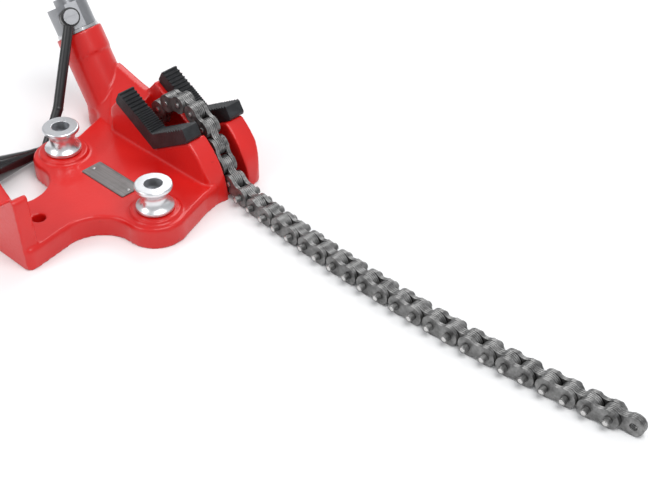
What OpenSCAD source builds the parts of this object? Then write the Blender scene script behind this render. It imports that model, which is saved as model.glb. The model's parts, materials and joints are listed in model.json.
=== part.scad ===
// Chain pipe vise: a ribbed bench casting with a slot for the chain, two serrated V jaws, a pipe
// rest, two bending rollers, and a chain that a screw in the inclined arm pulls tight.
// X runs along the clamped pipe to the pipe rest, Y runs along the chain's free end, Z is up.
// The origin is on the bench face, below the middle of the V jaws, in the middle of the chain slot.

/* [Base casting] */
// Height of the base plate above the bench
plate_h = 18; // [14:0.5:24]
// Thickness of the base plate's top and skirt
plate_wall = 6; // [4:0.5:8]
// Y of the front face of the base
front_y = 67; // [64:0.5:72]
// X of the face behind the chain slot
back_x = 28.5; // [27:0.5:32]
// X of the middle of each bending roller
lobe_x = 76; // [70:1:84]
// Y of the middle of each bending roller
lobe_y = 57; // [54:0.5:62]
// Radius of the lobe round each roller
lobe_r = 25; // [23:0.5:28]
// Radius of the waist between the lobes and the tail
waist_r = 30; // [24:1:34]
// Half width of the waist
waist_y = 24.5; // [22:0.5:27]
// X of the end face of the tail
tail_x = 176; // [170:1:186]
// Half width of the tail's end
tail_y = 30; // [28:0.5:34]
// Corner radius of the tail
tail_r = 6; // [4:0.5:8]
// Radius of the foot below the arm
foot_r = 21; // [20:0.5:24]

/* [Cheeks and chain slot] */
// Width of the chain slot between the cheeks
slot_w = 22; // [21:0.2:24]
// Radius of the cheeks' curved front
front_r = 62; // [60:0.5:66]
// Radius of the cheeks' upright front corners
cheek_corner_r = 12; // [6:0.5:14]
// Y of the cheeks' end beside the arm
cheek_end_y = -62; // [-66:0.5:-58]
// Height of the slot's floor above the bench
slot_floor = 3; // [2:0.5:4]
// Height of the tunnel's roof above the bench
tunnel_roof = 24; // [23:0.5:26]

/* [Jaws] */
// Height of the bottom of the V above the bench
vee_z = 40; // [36:0.5:42]
// Slope of each side of the V
vee_angle = 30; // [26:1:34]
// Thickness of a jaw bar
jaw_t = 13; // [11:0.5:14]
// Width of a jaw bar
jaw_w = 14.8; // [13:0.2:16]
// Gap between the two jaws
jaw_gap = 30.2; // [28:0.2:32]
// Reach of the V from the middle to the upper end of a jaw
jaw_reach = 38; // [34:0.5:42]
// Distance between two teeth, along the V
tooth_pitch = 2.6; // [2:0.1:3.2]
// Depth of a tooth
tooth_h = 1.2; // [0.8:0.1:1.6]
// Y of each jaw screw
jaw_screw_y = 24; // [20:0.5:28]
// Thread diameter of a jaw screw
jaw_screw_d = 6; // [5:1:8]

/* [Pipe rest] */
// Thickness of the pipe rest
rest_t = 13; // [11:0.5:15]
// Height of the bottom of the rest's V
rest_vee_z = 45; // [42:0.5:48]
// Height of the rest's horns
rest_top_z = 59; // [56:0.5:62]
// Half width of the rest at its top
rest_y = 22.5; // [21:0.5:24]

/* [Rollers] */
// Outer diameter of a roller's flanges
roller_d = 29.4; // [27:0.2:32]
// Diameter of a roller's waist
roller_waist_d = 20.5; // [18:0.5:23]
// Height of a roller
roller_h = 22; // [20:0.5:26]
// Thickness of a flange at its rim
roller_rim = 3.2; // [2.5:0.1:4]
// Bore of a roller
roller_bore = 14.2; // [12:0.1:16]
// Radius of the boss below a roller
boss_r = 19.5; // [18:0.5:21]
// Height of the boss above the plate
boss_h = 3; // [2:0.5:4]
// Bolt hole through a roller's sleeve
bolt_d = 8.5; // [8.5:0.5:11]
// Bolt hole in the tail
tail_bolt_d = 10.5; // [8.5:0.5:12]
// X of the bolt hole in the tail
tail_bolt_x = 143; // [138:0.5:148]

/* [Name plate] */
// Length of the bare plate, across the base
label_l = 51; // [44:0.5:56]
// Width of the plate
label_w = 19; // [16:0.5:22]
// Thickness of the plate
label_t = 1; // [0.6:0.1:1.5]

/* [Arm and screw] */
// Slope of the arm above the bench
arm_angle = 58; // [54:1:62]
// Y where the arm's middle line meets the chain's run in the tunnel
arm_y = -89.6; // [-94:0.2:-86]
// Outer diameter of the arm
arm_d = 38; // [36:0.5:40]
// Outer diameter of the arm's collar
collar_d = 39.6; // [38.5:0.1:42]
// Length of the arm above the chain's run
arm_l = 70; // [66:1:74]
// Length of the collar
collar_l = 20; // [14:1:26]
// Bore of the arm
arm_bore = 23; // [22:0.2:25]
// Thread diameter of the chain screw
screw_d = 18; // [16:0.5:19]
// Lead of the chain screw's thread
screw_lead = 5; // [4:0.5:6]
// Thickness of the thrust washer
washer_t = 2.5; // [2:0.1:4]
// Diameter of the nut hub
hub_d = 34; // [31:0.5:35]
// Height of the nut hub
hub_h = 22; // [18:0.5:26]
// Height of the web that ties the arm to the cheeks, at the arm
web_top_arm = 48; // [46:0.5:49]
// Height of that web at the cheeks
web_top_cheek = 40; // [39:0.5:41]

/* [Crank] */
// Diameter of the crank's rod
rod_d = 8.5; // [7:0.5:10]
// Turn of the crank's plane about the arm's middle line, degrees
crank_turn = -18; // [-24:1:-12]
// Distance from the arm's middle line to the crank's plane
crank_off = 20.5; // [20:0.5:23]
// Distance of the pivot from the arm, along the crank's plane
pivot_x = 6; // [2:0.5:7]
// Diameter of the pivot screw
pivot_d = 7; // [5:0.5:8]
// Sideways reach of the crank at its bend
bend_x = 46.5; // [44:0.5:50]
// Drop of the bend below the pivot
bend_drop = 63.6; // [58:0.4:66]
// Sideways reach of the crank at its elbow
elbow_x = 70; // [66:1:72]
// Drop of the elbow below the pivot
elbow_drop = 90; // [84:1:91]
// Length of the grip
grip_l = 92; // [80:1:105]
// Diameter of the grip's outer end
grip_d = 27; // [24:0.5:28]
// Diameter of the grip's neck
grip_neck_d = 9.2; // [9:0.2:11]

/* [Chain] */
// Distance between two pins
chain_pitch = 15.875; // [15.6:0.025:16.1]
// Height of a plate
link_h = 14.8; // [14:0.1:15]
// Thickness of a plate
link_t = 1.5; // [1.2:0.05:1.6]
// Pin diameter
pin_d = 5.6; // [5:0.1:6]
// Length of a pin that sticks out on both sides
pin_long = 22.4; // [20:0.2:24]
// Height of a riveted pin head
rivet_h = 0.5; // [0.3:0.1:0.8]
// Sideways swing of the free end, degrees a link
sway = 0.8; // [0:0.1:0.85]

/* [Clearances] */
// Radial clearance of a turning or sliding fit
run_fit = 0.08; // [0.05:0.01:0.1]
// Gap between pieces that only lie beside each other
gap = 0.3; // [0.2:0.05:0.5]
// Gap between two plates of one link
plate_gap = 0.1; // [0.05:0.01:0.15]

/* [Hidden] */
links_before = 14;
links_after = 23;
link_count = links_before + links_after;
function link_name(i) = str(i % 2 == 0 ? "inner_link_" : "outer_link_", i + 1);
$fn = 48;
eps = 0.02;
big = 400;

slot_x = slot_w / 2;
cheek_w = back_x - slot_x;
jaw_x = jaw_gap / 2;
vee_rise = tan(vee_angle);
seat_z = vee_z - jaw_t / cos(vee_angle);
front_mid_y = front_y - front_r;
chain_floor = slot_floor + link_h / 2 + 2 * gap;
ground_z = link_h / 2 + gap;
boss_z = plate_h + boss_h;
roller_z = boss_z + gap;
rest_x = tail_x - rest_t;
stack_inner = 4 * link_t + 3 * plate_gap;
outer_x = stack_inner / 2 + 2 * plate_gap;
stack_half = outer_x + 2 * link_t + plate_gap;
label_x = lobe_x - 2.5;

// ---- small vector helpers for the chain's run, all in the plane of the slot ----
function unit(v) = v / norm(v);
function turn(a) = [cos(a), sin(a)];
function heading(p, q) = atan2(q[1] - p[1], q[0] - p[0]);

// ---- the arm's own frame: its Z runs up the arm, and its origin is on the chain's run ----
arm_tilt = 90 - arm_angle;
module arm_frame() {
    translate([0, arm_y, chain_floor]) rotate([arm_tilt, 0, 0]) children();
}
hub_z = arm_l + gap + washer_t + gap;
pivot_z = hub_z + hub_h / 2;
eye_z = 15.2;

// ---- the guide that the chain lies along: straight runs with rounded corners ----
climb = 58;
fall = -56;
fall_y = front_y - 2.5;
climb_y = -41;
corner_r = 24;
crest_r = 39;
landing_r = 45;
crest = let (
        k1 = tan(climb), k2 = tan(fall),
        y = (ground_z - chain_floor + k1 * climb_y - k2 * fall_y) / (k1 - k2)
    ) [y, chain_floor + k1 * (y - climb_y)];
corners = [
    [arm_y - eye_z * cos(arm_angle), chain_floor + eye_z * sin(arm_angle), 0],
    [arm_y, chain_floor, corner_r],
    [climb_y, chain_floor, corner_r],
    [crest[0], crest[1], crest_r],
    [fall_y, ground_z, landing_r],
    [fall_y + chain_pitch * (links_after + 3), ground_z, 0]
];
function flat(p) = [p[0], p[1]];
// Points of the arc that rounds corner b between a and c
function rounded(a, b, c) = let (
        h1 = heading(flat(a), flat(b)),
        h2 = heading(flat(b), flat(c)),
        bend = h2 - h1,
        reach = b[2] * tan(abs(bend) / 2),
        start = flat(b) - turn(h1) * reach,
        side = bend > 0 ? 90 : -90,
        mid = start + turn(h1 + side) * b[2],
        steps = ceil(abs(bend) / 3)
    ) [for (k = [0:steps]) mid + turn(h1 - side + bend * k / steps) * b[2]];
guide = concat(
    [flat(corners[0])],
    [for (k = [1:len(corners) - 2]) each rounded(corners[k - 1], corners[k], corners[k + 1])],
    [flat(corners[len(corners) - 1])]
);
// The first guide point past the pitch circle round p, and the place where the circle cuts in
function past(p, k) = norm(guide[k] - p) >= chain_pitch || k >= len(guide) - 1 ? k : past(p, k + 1);
function cut_in(p, a, b) = let (
        d = b - a,
        f = a - p,
        qa = d * d,
        qb = 2 * (f * d),
        qc = f * f - chain_pitch * chain_pitch
    ) a + d * ((-qb + sqrt(qb * qb - 4 * qa * qc)) / (2 * qa));
function pins_from(p, k, n) = n == 0 ? [p] : let (
        m = past(p, k),
        q = cut_in(p, guide[m - 1], guide[m])
    ) concat([p], pins_from(q, m, n - 1));
run = pins_from(guide[0], 1, link_count);
function climb_of(i) = heading(run[i], run[i + 1]);

// ---- the chain's sideways swing: it drifts to one side past the slot and comes back ----
sway_start = links_before - 9;
sway_top = links_before;
sway_dip = [0, 0.85, 1.5, 1.5, 0.85];
function yaw_of(i) = i < sway_start ? sway * sway_dip[i]
    : i <= sway_top ? -sway * (i - sway_start)
    : -sway * (sway_top - sway_start) + 0.82 * sway * (i - sway_top);
function pin_at(i) = i == 0 ? [0, run[0][0], run[0][1]]
    : let (p = pin_at(i - 1), a = climb_of(i - 1), y = yaw_of(i - 1))
      p + chain_pitch * [-cos(a) * sin(y), cos(a) * cos(y), sin(a)];
module at_pin(i) {
    translate(pin_at(i)) rotate([0, 0, yaw_of(i)]) rotate([climb_of(i), 0, 0]) children();
}

// ================================ base casting ================================
module rounded_box_2d(x0, x1, y0, y1, r) {
    translate([x0 + r, y0]) square([x1 - x0 - 2 * r, y1 - y0]);
    translate([x0, y0 + r]) square([x1 - x0, y1 - y0 - 2 * r]);
    for (x = [x0 + r, x1 - r], y = [y0 + r, y1 - r]) translate([x, y]) circle(r);
}

// One side of the plate's outline, drawn inwards by d
module side_outline(d) {
    r = lobe_r - d;
    dx = sqrt(pow(lobe_r + waist_r, 2) - pow(waist_y + waist_r - lobe_y, 2));
    waist_x = lobe_x + dx;
    difference() {
        union() {
            translate([lobe_x, lobe_y]) circle(r);
            translate([lobe_x, -eps]) square([dx + eps, lobe_y + eps]);
        }
        translate([waist_x, waist_y + waist_r]) circle(waist_r + d);
    }
    polygon([
        [waist_x - 3, -eps], [waist_x - 3, waist_y - d - 1], [waist_x, waist_y - d - gap],
        [tail_x - tail_r, tail_y - d - eps], [tail_x - tail_r, -eps]
    ]);
    translate([lobe_x - 1, -eps]) square([tail_x - tail_r - lobe_x + 1, tail_y - tail_r - d]);
    translate([tail_x - tail_r - 2, -eps]) square([tail_r + 2 - d, tail_y - tail_r + eps]);
    if (tail_r - d > gap) translate([tail_x - tail_r, tail_y - tail_r]) circle(tail_r - d);
}

module plate_outline(d = 0) {
    lean = 20;
    far_lean = 44;
    inner_r = lobe_r - d - gap;
    flank_x = lobe_x - 33;
    side_outline(d);
    mirror([0, 1]) side_outline(d);
    // the straight front that runs out to the near lobe
    polygon([
        [-back_x + d, cheek_end_y], [-back_x + d, front_y - 8 - d], [-slot_x, front_y - 4 - d],
        [slot_x, front_y - 4 - d], [back_x - 6, front_y - 0.5 - d], [back_x + 7, front_y + 2 - d],
        [lobe_x - inner_r, front_y + 7.5 - d], [lobe_x - inner_r * sin(lean), lobe_y + inner_r * cos(lean)],
        [lobe_x, lobe_y], [lobe_x, -lobe_y]
    ]);
    // the far side, from the lobe to the arm's foot
    polygon([
        [-back_x + d, 0], [-back_x + d, cheek_end_y - 4], [d - foot_r + 1, arm_y + 4], [foot_r - d - 1, arm_y + 4],
        [foot_r + 3 - d, arm_y + 9.5 + d], [flank_x, -front_y - 6 + d], [flank_x + 11, -front_y - 2 + d],
        [lobe_x - inner_r * sin(far_lean), -lobe_y - inner_r * cos(far_lean)], [lobe_x, -lobe_y]
    ]);
    translate([0, arm_y - 1]) circle(foot_r - d);
}

module plate_body() {
    edge = 1.4;
    linear_extrude(plate_h - 2 * edge) plate_outline();
    translate([0, 0, plate_h - 2 * edge - eps]) linear_extrude(edge + eps) plate_outline(0.5);
    translate([0, 0, plate_h - edge - eps]) linear_extrude(edge + eps) plate_outline(1.6);
}

// The space below the plate, out to the tail and the lobes
module plate_hollow() {
    difference() {
        translate([0, 0, -eps]) linear_extrude(plate_h - plate_wall + eps) plate_outline(plate_wall);
        translate([-big, -big, -1]) cube([big + back_x + plate_wall, 2 * big, big]);
        for (s = [-1, 1]) translate([lobe_x, s * lobe_y, -1]) cylinder(h = big, r = boss_r - 7);
        translate([tail_bolt_x, 0, -1]) cylinder(h = big, r = tail_bolt_d / 2 + plate_wall);
        translate([tail_bolt_x, -plate_wall / 2, -1]) cube([big, plate_wall, big]);
    }
}

// Side view of a cheek: curved front, seat for the V jaw, and the end beside the arm
module cheek_profile() {
    top = seat_z + vee_rise * (jaw_reach + 7);
    intersection() {
        polygon([
            [cheek_end_y, 0], [cheek_end_y + 1, 24], [cheek_end_y + 8, web_top_cheek],
            [-jaw_reach - 6.5, seat_z + vee_rise * (jaw_reach + 6.5)], [0, seat_z],
            [jaw_reach + 7, top], [front_y + 20, top], [front_y + 20, 0]
        ]);
        union() {
            translate([front_mid_y, 0]) circle(front_r, $fn = 96);
            translate([cheek_end_y - 1, 0]) square([-cheek_end_y, big]);
        }
    }
}

module cheeks() {
    for (s = [0, 1]) mirror([s, 0, 0]) intersection() {
        translate([slot_x - eps, 0, 0]) rotate([90, 0, 90]) linear_extrude(cheek_w + eps) cheek_profile();
        linear_extrude(big) intersection() {
            rounded_box_2d(-back_x, back_x, cheek_end_y, front_y, cheek_corner_r);
            translate([slot_x, -big]) square([big, 2 * big]);
        }
    }
}

// The web that ties the arm to the cheeks over the tunnel: high on the far side, falling to the near side
module web_slice(y, top, near_x, near_top) {
    translate([0, y, 0]) rotate([90, 0, 0]) linear_extrude(1) polygon([
        [-18, 0], [-18, top - 6], [-15, top], [-9, top], [near_x, near_top], [near_x, 0]
    ]);
}
module arm_web() {
    hull() {
        web_slice(arm_y - 4, web_top_arm, 18, plate_h + 2);
        web_slice(cheek_end_y - 2, web_top_cheek, 24, plate_h + 0.5);
    }
    hull() {
        web_slice(cheek_end_y - 1, web_top_cheek, 24, plate_h + 0.5);
        web_slice(cheek_end_y + 13, web_top_cheek - 3, 20, plate_h + 0.5);
    }
}

module arm_tube() {
    intersection() {
        arm_frame() union() {
            translate([0, 0, -40]) cylinder(h = 40 + arm_l, d = arm_d);
            translate([0, 0, arm_l - collar_l]) cylinder(h = collar_l, d = collar_d);
        }
        translate([-big, -big, 0]) cube(2 * big);
    }
}

module pipe_rest() {
    vee_half = rest_y - 4;
    rise = (rest_top_z - rest_vee_z) / vee_half;
    translate([rest_x, 0, 0]) rotate([90, 0, 90]) linear_extrude(rest_t) difference() {
        polygon([
            [-rest_y - 6, 2], [-rest_y, rest_top_z - 2], [-rest_y + 2, rest_top_z],
            [rest_y - 2, rest_top_z], [rest_y, rest_top_z - 2], [rest_y + 6, 2]
        ]);
        polygon([
            [0, rest_vee_z], [rest_y + 1, rest_vee_z + rise * (rest_y + 1)],
            [rest_y + 1, big], [-rest_y - 1, big], [-rest_y - 1, rest_vee_z + rise * (rest_y + 1)]
        ]);
    }
}

module chain_way() {
    // open slot between the cheeks, from the front face back to the tunnel
    translate([-slot_x, cheek_end_y + 12, slot_floor]) cube([slot_w, big, big]);
    // tunnel below the web, and the mouth of the arm's bore
    half = slot_x - 1.3;
    translate([-half, arm_y - 6, slot_floor]) cube([2 * half, big, tunnel_roof - slot_floor]);
    arm_frame() translate([0, 0, -1]) cylinder(h = arm_l + 4, d = arm_bore);
}

module jaw_screw_bores() {
    for (x = [-1, 1], y = [-1, 1]) translate([x * (jaw_x + jaw_w / 2), y * jaw_screw_y, 0]) {
        translate([0, 0, -1]) cylinder(h = jaw_head_z + 1, d = jaw_head_d + 2 * jaw_head_gap);
        cylinder(h = vee_z, d = jaw_screw_d + 2 * run_fit);
    }
}
jaw_head_z = 16;
jaw_head_d = 1.5 * jaw_screw_d;
jaw_head_gap = 0.3;

module base_casting() {
    color([0.78, 0.05, 0.04]) difference() {
        union() {
            difference() {
                union() {
                    plate_body();
                    cheeks();
                    arm_web();
                    arm_tube();
                }
                chain_way();
            }
            pipe_rest();
            for (s = [-1, 1]) translate([lobe_x, s * lobe_y, plate_h - eps])
                cylinder(h = boss_h + eps, r = boss_r);
        }
        plate_hollow();
        jaw_screw_bores();
        for (s = [-1, 1]) translate([lobe_x, s * lobe_y, -1]) cylinder(h = big, d = sleeve_d);
        translate([tail_bolt_x, 0, -1]) cylinder(h = plate_h + 2, d = tail_bolt_d);
        translate([label_x - label_w / 2 - gap, -label_l / 2 - gap, plate_h - label_t / 2])
            cube([label_w + 2 * gap, label_l + 2 * gap, big]);
    }
}

// ================================ jaws ================================
// Teeth along one side of the V: points from the middle outwards, run is along the slope
// with fine teeth near the middle and coarse ones outside
fine_run = 0.55 * jaw_reach;
function tooth(start, pitch) = [
    [start, 0], [start + 0.5 * pitch, -tooth_h * pitch / tooth_pitch], [start + 0.8 * pitch, -tooth_h * pitch / tooth_pitch]
];
fine_count = floor(fine_run / (0.8 * tooth_pitch));
coarse_start = fine_count * 0.8 * tooth_pitch;
function teeth(run) = concat(
    [for (k = [0:fine_count - 1]) each tooth(k * 0.8 * tooth_pitch, 0.8 * tooth_pitch)],
    [for (k = [0:floor((run - coarse_start) / (1.35 * tooth_pitch)) - 1])
        each tooth(coarse_start + k * 1.35 * tooth_pitch, 1.35 * tooth_pitch)]
);
function slope_point(p) = [p[0] * cos(vee_angle) - p[1] * sin(vee_angle),
                           vee_z + p[0] * sin(vee_angle) + p[1] * cos(vee_angle)];
jaw_len = jaw_reach / cos(vee_angle);

jaw_half = concat(
    [for (p = teeth(jaw_len - 2)) slope_point(p)],
    [
        slope_point([jaw_len - 1.5, 0]), slope_point([jaw_len, -1.5]),
        slope_point([jaw_len, -jaw_t + gap + 2]), slope_point([jaw_len - 2, -jaw_t + gap]),
        [0, seat_z + gap]
    ]
);
module jaw_profile() {
    polygon(concat(
        jaw_half,
        [for (k = [len(jaw_half) - 2:-1:1]) [-jaw_half[k][0], jaw_half[k][1]]]
    ));
}

module jaw(side) {
    color([0.09, 0.09, 0.1]) difference() {
        translate([side * (jaw_x + jaw_w / 2) - jaw_w / 2, 0, 0])
            rotate([90, 0, 90]) linear_extrude(jaw_w) jaw_profile();
        for (y = [-1, 1]) translate([side * (jaw_x + jaw_w / 2), y * jaw_screw_y, 0])
            cylinder(h = jaw_screw_top + gap, d = jaw_screw_d);
    }
}
jaw_screw_top = seat_z + vee_rise * jaw_screw_y + jaw_t * 0.5;
module jaw_near() { jaw(1); }
module jaw_far() { jaw(-1); }

module jaw_screws() {
    color([0.2, 0.2, 0.21])
    for (x = [-1, 1], y = [-1, 1]) translate([x * (jaw_x + jaw_w / 2), y * jaw_screw_y, 0])
        difference() {
            union() {
                translate([0, 0, jaw_head_z - jaw_screw_d]) cylinder(h = jaw_screw_d, d = jaw_head_d);
                translate([0, 0, jaw_head_z - eps]) cylinder(h = jaw_screw_top - jaw_head_z, d = jaw_screw_d);
            }
            translate([0, 0, jaw_head_z - jaw_screw_d - 1]) cylinder(h = 4, d = 0.9 * jaw_screw_d, $fn = 6);
        }
}

// ================================ rollers ================================
sleeve_d = roller_bore - 2 * run_fit;
module roller(side) {
    mid = roller_h / 2;
    dip = (roller_d - roller_waist_d) / 2;
    half = mid - roller_rim;
    groove_r = (half * half + dip * dip) / (2 * dip);
    color([0.8, 0.81, 0.83]) translate([lobe_x, side * lobe_y, roller_z]) rotate_extrude($fn = 96)
        difference() {
            translate([roller_bore / 2, 0]) square([(roller_d - roller_bore) / 2, roller_h]);
            translate([roller_waist_d / 2 + groove_r, mid]) circle(groove_r, $fn = 96);
            for (z = [0, roller_h]) translate([roller_d / 2, z]) rotate(45) square(1.2, center = true);
        }
}
module pipe_roller_near() { roller(1); }
module pipe_roller_far() { roller(-1); }

module roller_sleeves() {
    color([0.45, 0.47, 0.5]) for (s = [-1, 1]) translate([lobe_x, s * lobe_y, 0]) difference() {
        translate([0, 0, gap]) cylinder(h = roller_z + 0.55 * roller_h, d = sleeve_d);
        translate([0, 0, -1]) cylinder(h = big, d = bolt_d);
    }
}

module name_plate() {
    color([0.6, 0.61, 0.62]) translate([label_x - label_w / 2, -label_l / 2, plate_h - label_t / 2])
        linear_extrude(label_t) rounded_box_2d(0, label_w, 0, label_l, 1.5);
}

// ================================ screw, nut and crank ================================
fork_gap = stack_inner + 2 * gap;
module chain_screw() {
    fork_top = eye_z + link_h / 2 + 3;
    color([0.5, 0.51, 0.53]) arm_frame() difference() {
        union() {
            translate([0, 0, eye_z - 6]) cylinder(h = 22, d = arm_bore - 2 * run_fit);
            translate([0, 0, eye_z + 10]) cylinder(h = hub_z + hub_h + 6 - eye_z - 10, d = screw_d);
        }
        translate([-fork_gap / 2, -big / 2, -big + fork_top]) cube([fork_gap, big, big]);
        translate([-big / 2, 0, eye_z]) rotate([0, 90, 0]) cylinder(h = big, d = pin_d + 2 * run_fit);
    }
}

module anchor_pin() {
    half = arm_bore / 2 - 2.5;
    color([0.35, 0.36, 0.38]) arm_frame() translate([-half, 0, eye_z]) rotate([0, 90, 0])
        cylinder(h = 2 * half, d = pin_d);
}

module thrust_washer() {
    color([0.72, 0.72, 0.74]) arm_frame() translate([0, 0, arm_l + gap]) difference() {
        cylinder(h = washer_t, d = collar_d - 4);
        translate([0, 0, -1]) cylinder(h = washer_t + 2, d = screw_d + 4 * gap);
    }
}

// The crank's plane: its X leads away from the arm, its Z runs up the arm, its Y faces away from the screw
module crank_frame() {
    arm_frame() rotate([0, 0, crank_turn]) translate([0, crank_off, 0]) children();
}
module across(x, z) {
    translate([x, 0, z]) rotate([-90, 0, 0]) children();
}
eye_w = 8;
eye_d = 16;
head_t = 3;
lug_top = crank_off - eye_w / 2 - gap;
module nut_hub() {
    color([0.62, 0.63, 0.65]) difference() {
        union() {
            arm_frame() translate([0, 0, hub_z]) cylinder(h = hub_h, d = hub_d);
            crank_frame() translate([0, lug_top - crank_off - lug_top + 5, 0]) across(pivot_x, pivot_z)
                cylinder(h = lug_top - 5, d = eye_d);
        }
        crank_frame() translate([-big / 2, lug_top - crank_off, 0]) cube(big);
        arm_frame() translate([0, 0, hub_z - 1]) cylinder(h = hub_h + 2, d = screw_d + 2 * run_fit);
        crank_frame() translate([0, -crank_off + 6, 0]) across(pivot_x, pivot_z) cylinder(h = big, d = pivot_d - 1);
    }
}

module pivot_pin() {
    color([0.5, 0.51, 0.53]) crank_frame() {
        translate([0, lug_top - crank_off - 6, 0]) across(pivot_x, pivot_z) cylinder(h = 6 + eps, d = pivot_d - 1);
        translate([0, lug_top - crank_off, 0]) across(pivot_x, pivot_z) cylinder(h = eye_w + 2 * gap + eps, d = pivot_d);
        difference() {
            translate([0, eye_w / 2 + gap, 0]) across(pivot_x, pivot_z) cylinder(h = head_t, d = 1.8 * pivot_d);
            translate([0, eye_w / 2 + gap + head_t - 1, 0]) across(pivot_x, pivot_z)
                translate([-pivot_d, -0.8, 0]) cube([2 * pivot_d, 1.6, 2]);
        }
    }
}

// The crank: eye, rod with one bend, elbow, and the spindle that carries the grip
bend_p = [bend_x, pivot_z - bend_drop];
elbow_p = [elbow_x, pivot_z - elbow_drop];
eye_p = [pivot_x, pivot_z];
grip_yaw = 30.6;
grip_lift = 5.1;
module rod_piece(p, q) {
    translate([p[0], 0, p[1]]) rotate([0, 90 - heading(p, q), 0]) cylinder(h = norm(q - p), d = rod_d);
}
module spindle_frame() {
    translate([elbow_p[0], 0, elbow_p[1]]) rotate([0, 0, grip_yaw]) rotate([0, 90 - grip_lift, 0]) children();
}
neck_gap = 10;
knuckle = 0.4;
spindle_d = 6;
module crank_arm() {
    color([0.06, 0.06, 0.07]) crank_frame() {
        difference() {
            union() {
                translate([0, -eye_w / 2, 0]) across(pivot_x, pivot_z) cylinder(h = eye_w, d = eye_d);
                rod_piece(eye_p + turn(heading(eye_p, bend_p)) * (pivot_d / 2 + 2), bend_p);
            }
            translate([0, -eye_w, 0]) across(pivot_x, pivot_z) cylinder(h = 2 * eye_w, d = pivot_d + 2 * run_fit);
        }
        rod_piece(bend_p, elbow_p);
        for (p = [bend_p, elbow_p]) translate([p[0], 0, p[1]]) sphere(d = rod_d + knuckle);
        spindle_frame() {
            cylinder(h = neck_gap, d = rod_d);
            cylinder(h = neck_gap + grip_l + 4, d = spindle_d);
        }
    }
}

module grip() {
    shell = [
        [grip_neck_d / 2, 0], [grip_neck_d / 2 + 0.3, 5], [grip_neck_d / 2 + 0.9, 11],
        [grip_d / 2 - 2.6, grip_l * 0.55], [grip_d / 2 - 0.8, grip_l * 0.72], [grip_d / 2, grip_l - 12]
    ];
    color([0.03, 0.03, 0.035]) crank_frame() spindle_frame() translate([0, 0, neck_gap + gap])
        rotate_extrude() difference() {
            union() {
                polygon(concat([[0, 0]], shell, [[0, grip_l - 12]]));
                translate([0, grip_l - 12]) intersection() {
                    scale([1, 1]) circle(grip_d / 2);
                    square([grip_d / 2, 11.5]);
                }
            }
            translate([-1, -1]) square([1 + spindle_d / 2 + run_fit, grip_l + 20]);
            translate([-1, grip_l - 5]) square([8, 20]);
        }
}

module grip_nut() {
    color([0.4, 0.41, 0.43]) crank_frame() spindle_frame() translate([0, 0, neck_gap + grip_l - 5 + 2 * gap])
        difference() {
            cylinder(h = 4, d = 12);
            translate([0, 0, -1]) cylinder(h = 6, d = spindle_d);
        }
}

// ================================ chain ================================
// A plate seen from the side, with a waist between its two round ends
module plate_2d(hole) {
    waist_r = 9;
    difference() {
        union() {
            for (y = [0, chain_pitch]) translate([y, 0]) circle(d = link_h);
            translate([0, -link_h / 2]) square([chain_pitch, link_h]);
        }
        for (s = [-1, 1]) translate([chain_pitch / 2, s * (link_h / 2 - 1.9 + waist_r)]) circle(waist_r);
        for (y = [0, chain_pitch]) translate([y, 0]) circle(d = hole);
    }
}

module plate(x, hole) {
    translate([x, 0, 0]) rotate([90, 0, 90]) linear_extrude(link_t) plate_2d(hole);
}

// Four plates side by side that turn on the pins of the outer links
module inner_link() {
    color([0.33, 0.34, 0.35]) for (k = [0:3])
        plate(-stack_inner / 2 + k * (link_t + plate_gap), pin_d + 2 * run_fit);
}

module chain_pin(half) {
    translate([-half, 0, 0]) rotate([0, 90, 0]) cylinder(h = 2 * half, d = pin_d);
}

// Two plates on each side, with both pins held in them
module outer_link(half_a, half_b) {
    color([0.3, 0.31, 0.32]) {
        for (s = [0, 1]) mirror([s, 0, 0]) for (k = [0, 1])
            plate(outer_x + k * (link_t + plate_gap), pin_d - 2 * eps);
        chain_pin(half_a);
        translate([0, chain_pitch, 0]) chain_pin(half_b);
    }
}

module chain_link(i) {
    flush = stack_half + rivet_h;
    at_pin(i) {
        if (i % 2 == 0) inner_link();
        else outer_link(i < links_before ? flush : pin_long / 2, i + 1 < links_before ? flush : pin_long / 2);
    }
}

base_casting();
jaw_near();
jaw_far();
jaw_screws();
pipe_roller_near();
pipe_roller_far();
roller_sleeves();
name_plate();
chain_screw();
anchor_pin();
thrust_washer();
nut_hub();
pivot_pin();
crank_arm();
grip();
grip_nut();
for (i = [0:link_count - 1]) chain_link(i);
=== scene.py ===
import json
import math

import bmesh
import bpy
from bpy.props import FloatProperty, FloatVectorProperty, IntProperty, PointerProperty
from mathutils import Matrix, Vector


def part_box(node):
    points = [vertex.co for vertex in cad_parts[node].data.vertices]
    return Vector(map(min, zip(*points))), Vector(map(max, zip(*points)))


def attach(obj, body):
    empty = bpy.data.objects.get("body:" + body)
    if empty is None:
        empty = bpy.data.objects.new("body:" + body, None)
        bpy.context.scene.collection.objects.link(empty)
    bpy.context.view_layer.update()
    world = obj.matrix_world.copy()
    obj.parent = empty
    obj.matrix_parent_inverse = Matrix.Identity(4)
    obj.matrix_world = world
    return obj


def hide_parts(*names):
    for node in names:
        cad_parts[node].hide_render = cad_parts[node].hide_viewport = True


bl_info = {
    "name": "Chain pipe vise",
    "version": (1, 0, 0),
    "blender": (4, 5, 0),
    "location": "View3D > Sidebar > Vise",
    "description": "Dresses the packed chain pipe vise and sets its stage",
    "category": "Object",
}

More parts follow.
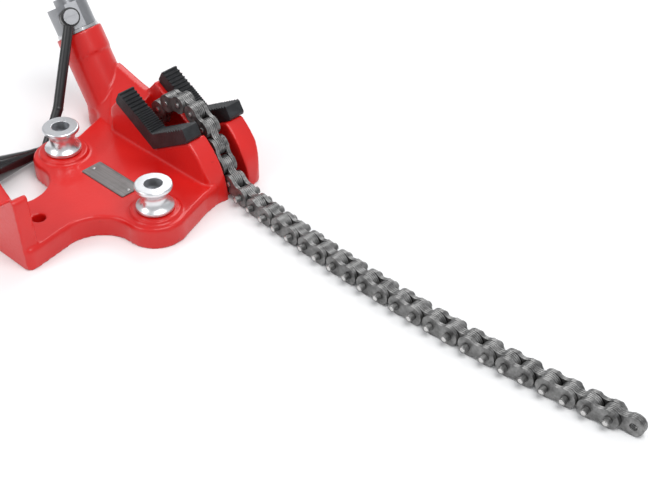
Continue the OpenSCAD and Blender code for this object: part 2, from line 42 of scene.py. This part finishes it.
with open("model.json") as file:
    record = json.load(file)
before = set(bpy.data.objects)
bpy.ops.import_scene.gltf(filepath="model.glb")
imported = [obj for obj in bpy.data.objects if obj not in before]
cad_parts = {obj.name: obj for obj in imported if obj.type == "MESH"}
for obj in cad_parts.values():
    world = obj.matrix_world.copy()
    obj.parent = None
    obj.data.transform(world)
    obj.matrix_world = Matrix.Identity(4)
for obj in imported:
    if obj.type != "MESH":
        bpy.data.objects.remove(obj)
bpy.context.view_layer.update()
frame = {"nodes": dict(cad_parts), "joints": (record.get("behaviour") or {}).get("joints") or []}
NODES = frame["nodes"]
JOINTS = {joint["name"]: joint for joint in frame["joints"]}
LINKS = sorted((n for n in NODES if "_link_" in n), key=lambda n: int(n.rsplit("_", 1)[1]))
ROLLER_BODY = {"pipe_roller_near": "roller_near", "pipe_roller_far": "roller_far"}
MM = 0.001

# How a CAD mesh is cleaned, smoothed and given broken edges
WELD_GAP = 0.002 * MM
FLAT_ANGLE = math.radians(0.6)
EDGE_ANGLE = math.radians(38)
SHARP_ANGLE = math.radians(32)
GRIP_SHARP_ANGLE = math.radians(35)

# Plain machined steels that no setting changes
SCREW_STEEL = (0.2, 0.2, 0.21)
SLEEVE_STEEL = (0.22, 0.23, 0.25)
PLAIN_STEEL = (0.34, 0.345, 0.36)
WASHER_STEEL = (0.62, 0.62, 0.63)
GRIP_NUT_STEEL = (0.3, 0.3, 0.32)
LABEL_RIVET_METAL = (0.55, 0.55, 0.55)

# The riveted head on each pin end: (radius, height), how deep it sits, and how far from the
# hinge's axis the link's points still belong to the pin
PIN_HEAD = [(1.95 * MM, 0.0), (1.95 * MM, 0.14 * MM), (1.5 * MM, 0.32 * MM),
            (0.9 * MM, 0.38 * MM), (0.0, 0.3 * MM)]
HEAD_SINK = 0.12 * MM
PIN_REGION = 3.2 * MM
HEAD_STEPS = 24

# Where the photograph was taken from, solved from the chain's pitch
CAMERA_PLACE = Vector((0.6095, 0.7732, 0.6604))
CAMERA_AIM = Vector((0.0, 0.16098, 0.0))

# Studio: each lamp's place, aim, size and power in watts, the world's even light, and half the
# side of the floor
LAMPS = {
    "key": ((0.1, 0.9, 1.5), (0.05, 0.05, 0.0), 1.1, 17.0),
    "side": ((1.4, -0.5, 1.1), (0.05, 0.05, 0.0), 0.9, 8.0),
    "back": ((-1.0, -0.6, 1.2), (0.05, 0.1, 0.0), 0.9, 8.0),
}
WORLD_COLOUR = (0.95, 0.97, 1.0, 1.0)
WORLD_STRENGTH = 0.56
FLOOR_HALF = 6.0


# ---------------------------------------------------------------- sizes and colours
class CastingSettings(bpy.types.PropertyGroup):
    voxel: FloatProperty(name="Voxel", description="Cell size used to round the casting",
                         default=1.0 * MM, unit="LENGTH")
    rounding: IntProperty(name="Rounding", description="Smoothing steps over the cast edges",
                          default=9, min=0)
    paint: FloatVectorProperty(name="Paint", description="Colour of the enamel",
                               subtype="COLOR", size=3, default=(0.56, 0.005, 0.004))
    paint_light: FloatVectorProperty(name="Worn paint", description="Colour where it is thin",
                                     subtype="COLOR", size=3, default=(0.66, 0.012, 0.009))


class JawSettings(bpy.types.PropertyGroup):
    bevel: FloatProperty(name="Edge", description="Broken edge of the jaws",
                         default=0.35 * MM, unit="LENGTH")
    steel: FloatVectorProperty(name="Steel", description="Blackened steel",
                               subtype="COLOR", size=3, default=(0.018, 0.019, 0.021))


class RollerSettings(bpy.types.PropertyGroup):
    metal: FloatVectorProperty(name="Metal", description="Turned bright metal",
                               subtype="COLOR", size=3, default=(0.80, 0.805, 0.82))
    edge: FloatProperty(name="Edge", description="Broken edge of the flanges",
                        default=0.4 * MM, unit="LENGTH")


class LabelSettings(bpy.types.PropertyGroup):
    metal: FloatVectorProperty(name="Metal", description="Bare label metal",
                               subtype="COLOR", size=3, default=(0.27, 0.265, 0.26))
    rim: FloatProperty(name="Rim", description="Width of the raised rim",
                       default=1.1 * MM, unit="LENGTH")
    rivet: FloatProperty(name="Rivet", description="Radius of the label's rivets",
                         default=1.5 * MM, unit="LENGTH")


class ChainSettings(bpy.types.PropertyGroup):
    steel: FloatVectorProperty(name="Plate steel", description="Oiled plates",
                               subtype="COLOR", size=3, default=(0.29, 0.288, 0.284))
    rivet: FloatVectorProperty(name="Rivet", description="Bright pin ends",
                               subtype="COLOR", size=3, default=(0.62, 0.61, 0.60))
    edge: FloatProperty(name="Edge", description="Rolled edge of the plates",
                        default=0.32 * MM, unit="LENGTH")


class CrankSettings(bpy.types.PropertyGroup):
    rod: FloatVectorProperty(name="Rod", description="Black coated rod",
                             subtype="COLOR", size=3, default=(0.008, 0.008, 0.009))
    grip: FloatVectorProperty(name="Grip", description="Glossy grip",
                              subtype="COLOR", size=3, default=(0.004, 0.004, 0.005))


class StageSettings(bpy.types.PropertyGroup):
    lens: FloatProperty(name="Lens", description="Focal length on a 36 mm wide sensor",
                        default=80.01)
    roll: FloatProperty(name="Roll", description="Camera roll",
                        default=math.radians(-0.829), subtype="ANGLE")
    floor: FloatVectorProperty(name="Floor", description="Colour of the floor",
                               subtype="COLOR", size=3, default=(0.9, 0.9, 0.9))


# ---------------------------------------------------------------- shader writing
class Socket:
    """An output socket that can be used in a Python expression."""

    def __init__(self, tree, out):
        self.tree, self.out = tree, out

    def _math(self, operation, a, b):
        return Shader.of(self.tree).node("ShaderNodeMath", {"operation": operation}, {0: a, 1: b})

    def __add__(self, other): return self._math("ADD", self, other)
    def __radd__(self, other): return self._math("ADD", other, self)
    def __sub__(self, other): return self._math("SUBTRACT", self, other)
    def __rsub__(self, other): return self._math("SUBTRACT", other, self)
    def __mul__(self, other): return self._math("MULTIPLY", self, other)
    def __rmul__(self, other): return self._math("MULTIPLY", other, self)
    def __pow__(self, other): return self._math("POWER", self, other)
    def __rpow__(self, other): return self._math("POWER", other, self)


class Shader:
    """One material's node tree, with short ways to add nodes."""

    trees = {}

    def __init__(self, name):
        self.material = bpy.data.materials.new(name)
        self.material.use_nodes = True
        self.tree = self.material.node_tree
        self.surface = self.tree.nodes["Principled BSDF"]
        Shader.trees[self.tree] = self

    @classmethod
    def of(cls, tree):
        return cls.trees[tree]

    def node(self, kind, settings=None, inputs=None, output=0):
        made = self.tree.nodes.new(kind)
        for key, value in (settings or {}).items():
            setattr(made, key, value)
        for key, value in (inputs or {}).items():
            self.link(value, made.inputs[key])
        return Socket(self.tree, made.outputs[output])

    def link(self, value, socket):
        if isinstance(value, Socket):
            self.tree.links.new(value.out, socket)
        else:
            socket.default_value = value

    def place(self):
        return self.node("ShaderNodeTexCoord", output="Object")

    def noise(self, scale, detail=3.0, roughness=0.55, vector=None):
        return self.node("ShaderNodeTexNoise", {}, {
            "Vector": vector or self.place(), "Scale": scale, "Detail": detail,
            "Roughness": roughness})

    def fit(self, value, low, high, to_low=0.0, to_high=1.0):
        return self.node("ShaderNodeMapRange", {"clamp": True}, {
            0: value, 1: low, 2: high, 3: to_low, 4: to_high})

    def blend(self, factor, a, b):
        a, b = (v if isinstance(v, Socket) else (*v[:3], 1.0) for v in (a, b))
        return self.node("ShaderNodeMix", {"data_type": "RGBA"}, {0: factor, 6: a, 7: b}, output=2)

    def bump(self, height, strength, distance):
        return self.node("ShaderNodeBump", {}, {
            "Height": height, "Strength": strength, "Distance": distance})

    def finish(self, **sockets):
        for key, value in sockets.items():
            if isinstance(value, (tuple, list)) and len(value) == 3:
                value = (*value, 1.0)
            self.link(value, self.surface.inputs[key.replace("_", " ")])
        return self.material


def shade(colour, share):
    """The same colour, darker or lighter by a share."""
    return tuple(part * share for part in colour)


def enamel(name, paint, light):
    """Glossy enamel over a sand-cast surface."""
    s = Shader(name)
    cloud = s.noise(16.0, 2.0)
    grain = s.noise(380.0, 3.0, 0.6)
    pits = s.noise(130.0, 4.0, 0.65)
    colour = s.blend(s.fit(cloud, 0.35, 0.68), paint, light)
    colour = s.blend(s.fit(pits, 0.66, 0.75) * 0.35, colour, (0.30, 0.004, 0.004))
    return s.finish(Base_Color=colour, Roughness=s.fit(grain, 0.3, 0.7, 0.30, 0.42),
                    Coat_Weight=0.35, Coat_Roughness=0.14, Specular_IOR_Level=0.38,
                    Normal=s.bump(grain * 0.45 + pits * 0.55, 0.42, 0.35 * MM))


def blackened(name, colour):
    """Black oxide steel with a fine ground grain and a few rubbed places."""
    s = Shader(name)
    grain = s.noise(620.0, 4.0, 0.7)
    rub = s.noise(70.0, 4.0, 0.6)
    rubbed = tuple(part * 2.6 + 0.008 for part in colour)
    base = s.blend(s.fit(rub, 0.48, 0.8) * 0.6, colour, rubbed)
    return s.finish(Base_Color=base, Metallic=0.35, Roughness=s.fit(grain, 0.3, 0.7, 0.40, 0.58),
                    Normal=s.bump(grain, 0.35, 0.22 * MM))


def turned(name, colour, axis_x, axis_y):
    """Bright metal with fine turning rings round an upright axis."""
    ring_wave = 2600.0  # radians per metre
    s = Shader(name)
    split = s.node("ShaderNodeSeparateXYZ", {}, {0: s.place()}).out.node
    x, y, z = (Socket(s.tree, out) for out in split.outputs)
    radius = ((x - axis_x) * (x - axis_x) + (y - axis_y) * (y - axis_y)) ** 0.5
    ring = s.node("ShaderNodeMath", {"operation": "SINE"}, {0: (radius + z) * ring_wave})
    smear = s.noise(60.0, 3.0, 0.5)
    base = s.blend(s.fit(smear, 0.35, 0.7), colour, shade(colour, 0.86))
    return s.finish(Base_Color=base, Metallic=0.93, Roughness=s.fit(smear, 0.3, 0.7, 0.26, 0.32),
                    Normal=s.bump(ring, 0.015, 0.1 * MM))


def oiled_with_painted_shade(name, dark, light):
    """Oiled chain steel: painted shade in the grooves between the plates, rubbed lighter patches.
    """
    s = Shader(name)
    patch = s.noise(150.0, 4.0, 0.65)
    fine = s.noise(900.0, 2.0, 0.6)
    base = s.blend(s.fit(patch, 0.36, 0.66), dark, light)
    # Painted shade: the plates darken to near black where ambient occlusion finds the grooves
    # between them
    open_air = s.node("ShaderNodeAmbientOcclusion", {"samples": 12}, {"Distance": 1.4 * MM},
                      output=1)
    base = s.blend(s.fit(open_air, 0.35, 0.9), shade(dark, 0.12), base)
    return s.finish(Base_Color=base, Metallic=0.8, Roughness=s.fit(patch, 0.3, 0.7, 0.30, 0.5),
                    Normal=s.bump(fine * 0.4 + patch, 0.22, 0.2 * MM))


def machined(name, colour, low=0.28, high=0.42):
    """Plain machined steel, with its lowest and highest roughness."""
    s = Shader(name)
    stroke = s.noise(240.0, 5.0, 0.7)
    base = s.blend(s.fit(stroke, 0.3, 0.7), shade(colour, 0.86), colour)
    return s.finish(Base_Color=base, Metallic=0.9, Roughness=s.fit(stroke, 0.3, 0.7, low, high),
                    Normal=s.bump(stroke, 0.12, 0.1 * MM))


def brushed_label(name, colour):
    """Bare label metal, brushed along the label, with a little dirt."""
    s = Shader(name)
    stretched = s.node("ShaderNodeMapping", {}, {"Vector": s.place(), "Scale": (900.0, 22.0, 22.0)})
    stroke = s.noise(1.0, 3.0, 0.6, vector=stretched)
    dirt = s.noise(90.0, 3.0, 0.6)
    base = s.blend(s.fit(stroke, 0.3, 0.7), shade(colour, 0.72), colour)
    base = s.blend(s.fit(dirt, 0.5, 0.75) * 0.4, base, (0.12, 0.11, 0.11))
    return s.finish(Base_Color=base, Metallic=0.72, Roughness=s.fit(dirt, 0.3, 0.7, 0.34, 0.5),
                    Normal=s.bump(stroke, 0.18, 0.12 * MM))


def coated_rod(name, colour):
    """Black coated steel rod with a few scuffs."""
    s = Shader(name)
    skin = s.noise(260.0, 3.0, 0.6)
    scuff = s.noise(45.0, 4.0, 0.65)
    base = s.blend(s.fit(scuff, 0.6, 0.8) * 0.5, colour, (0.05, 0.05, 0.052))
    return s.finish(Base_Color=base, Roughness=s.fit(skin, 0.3, 0.7, 0.30, 0.44),
                    Coat_Weight=0.12, Coat_Roughness=0.2, Normal=s.bump(skin, 0.2, 0.2 * MM))


def moulded_grip(name, colour):
    """Smooth glossy plastic with faint flow marks."""
    s = Shader(name)
    flow = s.noise(22.0, 2.0, 0.5)
    dust = s.noise(700.0, 2.0, 0.6)
    base = s.blend(s.fit(flow, 0.4, 0.7), colour, tuple(part + 0.006 for part in colour))
    return s.finish(Base_Color=base, Roughness=s.fit(dust, 0.3, 0.8, 0.16, 0.24),
                    Coat_Weight=0.25, Coat_Roughness=0.06, Specular_IOR_Level=0.4,
                    Normal=s.bump(flow, 0.05, 0.4 * MM))


def white_floor(name, colour):
    """Plain pale floor."""
    s = Shader(name)
    speck = s.noise(3.0, 2.0)
    base = s.blend(s.fit(speck, 0.2, 0.8), colour, shade(colour, 0.99))
    return s.finish(Base_Color=base, Roughness=0.7, Specular_IOR_Level=0.2)


# ---------------------------------------------------------------- mesh helpers
def new_piece(name, mesh, material, body):
    """A smooth piece of the scene that rides on a body."""
    piece = bpy.data.objects.new(name, mesh)
    bpy.context.scene.collection.objects.link(piece)
    mesh.materials.clear()
    mesh.materials.append(material)
    mesh.shade_smooth()
    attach(piece, body)
    return piece


def keep_shape(node, material):
    """Gives a CAD node its finish and smooth round faces."""
    mesh = NODES[node].data
    mesh.materials.clear()
    mesh.materials.append(material)
    mesh.shade_smooth()
    mesh.set_sharp_from_angle(angle=SHARP_ANGLE)


def copied(node, name):
    mesh = NODES[node].data.copy()
    mesh.name = name
    return mesh


def apply_modifiers(piece, *recipe):
    """Adds each modifier, applies them all to the mesh and leaves none."""
    for kind, settings in recipe:
        modifier = piece.modifiers.new(kind.title(), kind)
        for key, value in settings.items():
            setattr(modifier, key, value)
    graph = bpy.context.evaluated_depsgraph_get()
    done = bpy.data.meshes.new_from_object(piece.evaluated_get(graph))
    old = piece.data
    piece.modifiers.clear()
    piece.data = done
    bpy.data.meshes.remove(old)


def broken_edges(node, name, material, body, width):
    """A copy of a CAD node with its sharp edges broken, which stands for the node."""
    piece = new_piece(name, copied(node, name), material, body)
    apply_modifiers(piece,
                    ("WELD", {"merge_threshold": WELD_GAP}),
                    ("DECIMATE", {"decimate_type": "DISSOLVE", "angle_limit": FLAT_ANGLE}),
                    ("BEVEL", {"width": width, "segments": 2, "limit_method": "ANGLE",
                               "angle_limit": EDGE_ANGLE}),
                    ("WEIGHTED_NORMAL", {"keep_sharp": True}))
    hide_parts(node)
    return piece


def lathe(outline, steps):
    """A turned form round Z: outline is a list of (radius, height)."""
    work = bmesh.new()
    turns = [2 * math.pi * k / steps for k in range(steps)]
    rings = []
    for radius, height in outline:
        if radius < 1e-7:
            rings.append([work.verts.new((0, 0, height))])
        else:
            rings.append([work.verts.new((radius * math.cos(turn), radius * math.sin(turn), height))
                          for turn in turns])
    for low, high in zip(rings, rings[1:]):
        for k in range(steps):
            n = (k + 1) % steps
            corners = [low[k % len(low)], low[n % len(low)],
                       high[n % len(high)], high[k % len(high)]]
            work.faces.new(list(dict.fromkeys(corners)))
    bmesh.ops.recalc_face_normals(work, faces=work.faces)
    return work


def smooth_section(points, steps):
    """Points of a smooth curve through (height, width) pairs."""
    least_span = 0.05 * MM
    curve = []
    for k in range(len(points) - 1):
        before, here = points[max(k - 1, 0)], points[k]
        there, after = points[k + 1], points[min(k + 2, len(points) - 1)]
        span = there[0] - here[0]
        slopes = [(q[1] - p[1]) / max(q[0] - p[0], least_span) * span
                  for p, q in ((before, there), (here, after))]
        for step in range(steps):
            t = step / steps
            width = ((2 * t ** 3 - 3 * t ** 2 + 1) * here[1]
                     + (t ** 3 - 2 * t ** 2 + t) * slopes[0]
                     + (3 * t ** 2 - 2 * t ** 3) * there[1] + (t ** 3 - t ** 2) * slopes[1])
            curve.append((here[0] + t * span, width))
    return curve + [points[-1]]


def to_mesh(work, name, matrix=None):
    if matrix is not None:
        work.transform(matrix)
    mesh = bpy.data.meshes.new(name)
    work.to_mesh(mesh)
    work.free()
    return mesh


def frame_along(origin, axis):
    """A matrix whose Z runs along axis from origin."""
    z = Vector(axis).normalized()
    x = z.orthogonal().normalized()
    turn = Matrix((x, z.cross(x), z)).transposed().to_4x4()
    return Matrix.Translation(Vector(origin)) @ turn


def dome(radius, height):
    """Outline of a low riveted head."""
    return [(radius, 0.0), (radius, height * 0.35), (radius * 0.86, height * 0.75),
            (radius * 0.55, height * 0.95), (0.0, height)]


# ---------------------------------------------------------------- pieces
class VISE_OT_casting(bpy.types.Operator):
    """Rounds the casting's edges and corners and paints it"""
    bl_idname = "vise.casting"
    bl_label = "Painted casting"

    def execute(self, context):
        settings = context.scene.vise_casting
        material = enamel("red_enamel", settings.paint, settings.paint_light)
        piece = new_piece("casting_skin", copied("base_casting", "casting_skin"), material, "base")
        apply_modifiers(piece,
                        ("REMESH", {"mode": "VOXEL", "voxel_size": settings.voxel,
                                    "use_smooth_shade": True}),
                        ("SMOOTH", {"factor": 0.5, "iterations": settings.rounding}))
        piece.data.materials.clear()
        piece.data.materials.append(material)
        piece.data.shade_smooth()
        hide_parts("base_casting")
        return {"FINISHED"}


class VISE_OT_jaws(bpy.types.Operator):
    """Breaks the jaws' edges, blackens them and gives their screws a machined finish"""
    bl_idname = "vise.jaws"
    bl_label = "Serrated jaws"

    def execute(self, context):
        settings = context.scene.vise_jaws
        steel = blackened("blackened_steel", settings.steel)
        for node in ("jaw_near", "jaw_far"):
            jaw = broken_edges(node, node + "_body", steel, "base", settings.bevel)
        keep_shape("jaw_screws", machined("screw_steel", SCREW_STEEL))
        return {"FINISHED"}


class VISE_OT_rollers(bpy.types.Operator):
    """Turns the two bending rollers with soft edges and gives their sleeves a finish"""
    bl_idname = "vise.rollers"
    bl_label = "Bending rollers"

    def execute(self, context):
        settings = context.scene.vise_rollers
        for node, body in ROLLER_BODY.items():
            low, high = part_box(node)
            x, y = (low[0] + high[0]) / 2, (low[1] + high[1]) / 2
            metal = turned(node + "_metal", settings.metal, x, y)
            roller = broken_edges(node, node + "_turned", metal, body, settings.edge)
        keep_shape("roller_sleeves", machined("sleeve_steel", SLEEVE_STEEL))
        return {"FINISHED"}


class VISE_OT_label(bpy.types.Operator):
    """Adds the bare label's raised rim and its two rivets"""
    bl_idname = "vise.label"
    bl_label = "Bare label"

    def execute(self, context):
        settings = context.scene.vise_label
        metal = brushed_label("label_metal", settings.metal)
        keep_shape("name_plate", metal)
        low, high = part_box("name_plate")
        rim = new_piece("label_rim", self.rim_mesh(low, high, settings.rim), metal, "base")
        bright = machined("rivet_metal", LABEL_RIVET_METAL)
        rivet_inset, rivet_height, rivet_sink = 4.2 * MM, 0.7 * MM, 0.05 * MM
        for k, y in enumerate((low[1] + rivet_inset, high[1] - rivet_inset)):
            spot = Matrix.Translation(((low[0] + high[0]) / 2, y, high[2] - rivet_sink))
            work = lathe(dome(settings.rivet, rivet_height), HEAD_STEPS)
            mesh = to_mesh(work, "label_rivet", spot)
            new_piece(f"label_rivet_{k + 1}", mesh, bright, "base")
        return {"FINISHED"}

    def rim_mesh(self, low, high, width):
        """A thin band that rises from the label's top along its edge, with round corners."""
        edge, rise, slope, sink = 0.25 * MM, 0.28 * MM, 0.3 * MM, 0.02 * MM
        corner, least_corner, steps = 1.5 * MM, 0.4 * MM, 6
        corners = ((high[0], high[1], 0), (low[0], high[1], 90),
                   (low[0], low[1], 180), (high[0], low[1], 270))
        rim = bmesh.new()
        loops = []
        for inset, lift in ((edge, 0.0), (edge, rise), (width, rise), (width + slope, -sink)):
            radius = max(corner - inset * 0.4, least_corner)
            loop = []
            for x, y, start in corners:
                x -= math.copysign(inset + radius, x - (low[0] + high[0]) / 2)
                y -= math.copysign(inset + radius, y - (low[1] + high[1]) / 2)
                for k in range(steps + 1):
                    a = math.radians(start + 90 * k / steps)
                    loop.append(rim.verts.new((x + radius * math.cos(a), y + radius * math.sin(a),
                                               high[2] + lift)))
            loops.append(loop)
        for one, two in zip(loops, loops[1:]):
            for k in range(len(one)):
                n = (k + 1) % len(one)
                rim.faces.new((one[k], one[n], two[n], two[k]))
        bmesh.ops.recalc_face_normals(rim, faces=rim.faces)
        return to_mesh(rim, "label_rim")


class VISE_OT_chain(bpy.types.Operator):
    """Gives every link its finish and each pin end a riveted head"""
    bl_idname = "vise.chain"
    bl_label = "Chain"

    def execute(self, context):
        settings = context.scene.vise_chain
        steel = settings.steel
        outer = oiled_with_painted_shade("plate_steel", shade(steel, 0.42), steel)
        inner = oiled_with_painted_shade("inner_plate_steel", shade(steel, 0.45), shade(steel, 1.12))
        bright = machined("rivet_steel", settings.rivet, 0.22, 0.36)
        for number, node in enumerate(LINKS, 1):
            body = f"link_{number:02d}"
            pinned = node.startswith("outer")
            plates = broken_edges(node, f"plates_{number:02d}", outer if pinned else inner, body,
                                  settings.edge)
            if pinned:
                heads = new_piece(f"pin_heads_{number:02d}", self.pin_heads(node, number), bright,
                                  body)
        return {"FINISHED"}

    def pin_heads(self, node, number):
        """The heads on both ends of the two pins that an outer link carries."""
        joints = [JOINTS[f"chain_hinge_{n:02d}"] for n in (number, number + 1)]
        axis = Vector(joints[0]["axis"]).normalized()
        heads = bmesh.new()
        for joint in joints:
            centre = Vector(joint["pos_m"])
            offsets = [Vector(vertex.co) - centre for vertex in NODES[node].data.vertices]
            reach = max(o.dot(axis) for o in offsets if o.cross(axis).length < PIN_REGION)
            for sign in (1, -1):
                place = frame_along(centre + axis * sign * (reach - HEAD_SINK), axis * sign)
                part = to_mesh(lathe(PIN_HEAD, HEAD_STEPS), "head", place)
                heads.from_mesh(part)
                bpy.data.meshes.remove(part)
        return to_mesh(heads, "pin_heads")


class VISE_OT_crank(bpy.types.Operator):
    """Finishes the screw, nut hub, crank rod and grip"""
    bl_idname = "vise.crank"
    bl_label = "Screw and crank"

    def execute(self, context):
        settings = context.scene.vise_crank
        plain = machined("plain_steel", PLAIN_STEEL)
        for node in ("chain_screw", "anchor_pin", "nut_hub", "pivot_pin"):
            keep_shape(node, plain)
        keep_shape("thrust_washer", machined("washer_steel", WASHER_STEEL, 0.2, 0.3))
        keep_shape("crank_arm", coated_rod("coated_rod", settings.rod))
        self.grip(moulded_grip("grip_plastic", settings.grip))
        keep_shape("grip_nut", machined("grip_nut_steel", GRIP_NUT_STEEL))
        return {"FINISHED"}

    def grip(self, material):
        """A smooth turned grip along the crank's spindle, fitted to the CAD grip's own section."""
        slice_height, merge_gap = 0.2 * MM, 0.001 * MM
        outside_share = 1.3  # a ring this much wider than the bore is on the outside
        curve_steps, turn_steps = 6, 72
        joint = JOINTS["grip_spin"]
        start, along = Vector(joint["pos_m"]), Vector(joint["axis"]).normalized()
        section = {}
        for vertex in NODES["grip"].data.vertices:
            offset = Vector(vertex.co) - start
            height = offset.dot(along)
            ring = section.setdefault(round(height / slice_height), [])
            ring.append((height, (offset - height * along).length))
        rings = sorted((sum(h for h, _ in ring) / len(ring), max(w for _, w in ring))
                       for ring in section.values())
        bore = min(w for ring in section.values() for _, w in ring)
        wide = smooth_section([p for p in rings if p[1] > outside_share * bore], curve_steps)
        outline = [(bore, wide[0][0])] + [(width, height) for height, width in wide]
        outline.append((bore, wide[-1][0]))
        work = lathe(outline + outline[:1], turn_steps)
        bmesh.ops.remove_doubles(work, verts=work.verts, dist=merge_gap)
        bmesh.ops.recalc_face_normals(work, faces=work.faces)
        mesh = to_mesh(work, "grip_moulded", frame_along(start, along))
        piece = new_piece("grip_moulded", mesh, material, "handle")
        piece.data.set_sharp_from_angle(angle=GRIP_SHARP_ANGLE)
        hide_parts("grip")


class VISE_OT_stage(bpy.types.Operator):
    """Sets the floor, the soft lamps and the camera"""
    bl_idname = "vise.stage"
    bl_label = "Stage"

    def execute(self, context):
        settings = context.scene.vise_stage
        self.floor(context, settings)
        self.world(context)
        for name, (place, aim, size, power) in LAMPS.items():
            self.lamp(context, name, place, aim, size, power)
        self.camera(context, settings)
        context.scene.view_settings.view_transform = "Standard"
        return {"FINISHED"}

    def floor(self, context, settings):
        work = bmesh.new()
        work.faces.new([work.verts.new((x * FLOOR_HALF, y * FLOOR_HALF, 0.0))
                        for x, y in ((-1, -1), (1, -1), (1, 1), (-1, 1))])
        ground = bpy.data.objects.new("floor", to_mesh(work, "floor"))
        context.scene.collection.objects.link(ground)
        ground.data.materials.append(white_floor("floor_white", settings.floor))

    def world(self, context):
        world = bpy.data.worlds.new("studio")
        context.scene.world = world
        world.use_nodes = True
        background = world.node_tree.nodes["Background"]
        background.inputs["Color"].default_value = WORLD_COLOUR
        background.inputs["Strength"].default_value = WORLD_STRENGTH

    def lamp(self, context, name, place, aim, size, power):
        data = bpy.data.lights.new(name, "AREA")
        data.size, data.energy = size, power
        lamp = bpy.data.objects.new(name, data)
        lamp.matrix_world = frame_along(place, Vector(place) - Vector(aim))
        context.scene.collection.objects.link(lamp)

    def camera(self, context, settings):
        data = bpy.data.cameras.new("camera")
        data.sensor_fit, data.sensor_width, data.lens = "HORIZONTAL", 36.0, settings.lens
        data.clip_start, data.clip_end = 0.01, 50.0
        forward = (CAMERA_AIM - CAMERA_PLACE).normalized()
        right = forward.cross(Vector((0, 0, 1))).normalized()
        up = right.cross(forward)
        c, n = math.cos(settings.roll), math.sin(settings.roll)
        right, up = c * right + n * up, c * up - n * right
        turn = Matrix((right, up, -forward)).transposed().to_4x4()
        camera = bpy.data.objects.new("camera", data)
        camera.matrix_world = Matrix.Translation(CAMERA_PLACE) @ turn
        context.scene.collection.objects.link(camera)
        context.scene.camera = camera


class VISE_PT_panel(bpy.types.Panel):
    """Lists the vise's pieces"""
    bl_idname = "VISE_PT_panel"
    bl_label = "Chain pipe vise"
    bl_space_type = "VIEW_3D"
    bl_region_type = "UI"
    bl_category = "Vise"

    def draw(self, context):
        for operator, group in STEPS:
            column = self.layout.column(align=True)
            column.operator(operator.bl_idname)
            owner = getattr(context.scene, group)
            for key in owner.__annotations__:
                column.prop(owner, key)


GROUPS = {
    "vise_casting": CastingSettings, "vise_jaws": JawSettings, "vise_rollers": RollerSettings,
    "vise_label": LabelSettings, "vise_chain": ChainSettings, "vise_crank": CrankSettings,
    "vise_stage": StageSettings,
}
STEPS = [
    (VISE_OT_casting, "vise_casting"), (VISE_OT_jaws, "vise_jaws"),
    (VISE_OT_rollers, "vise_rollers"), (VISE_OT_label, "vise_label"),
    (VISE_OT_chain, "vise_chain"), (VISE_OT_crank, "vise_crank"), (VISE_OT_stage, "vise_stage"),
]


def register():
    for group in GROUPS.values():
        bpy.utils.register_class(group)
    for name, group in GROUPS.items():
        setattr(bpy.types.Scene, name, PointerProperty(type=group))
    for operator, _ in STEPS:
        bpy.utils.register_class(operator)
    bpy.utils.register_class(VISE_PT_panel)


def unregister():
    bpy.utils.unregister_class(VISE_PT_panel)
    for operator, _ in reversed(STEPS):
        bpy.utils.unregister_class(operator)
    for name in GROUPS:
        delattr(bpy.types.Scene, name)
    for group in reversed(list(GROUPS.values())):
        bpy.utils.unregister_class(group)


def main():
    register()
    for operator, _ in STEPS:
        group, name = operator.bl_idname.split(".")
        getattr(getattr(bpy.ops, group), name)()


if __name__ == "__main__":
    main()
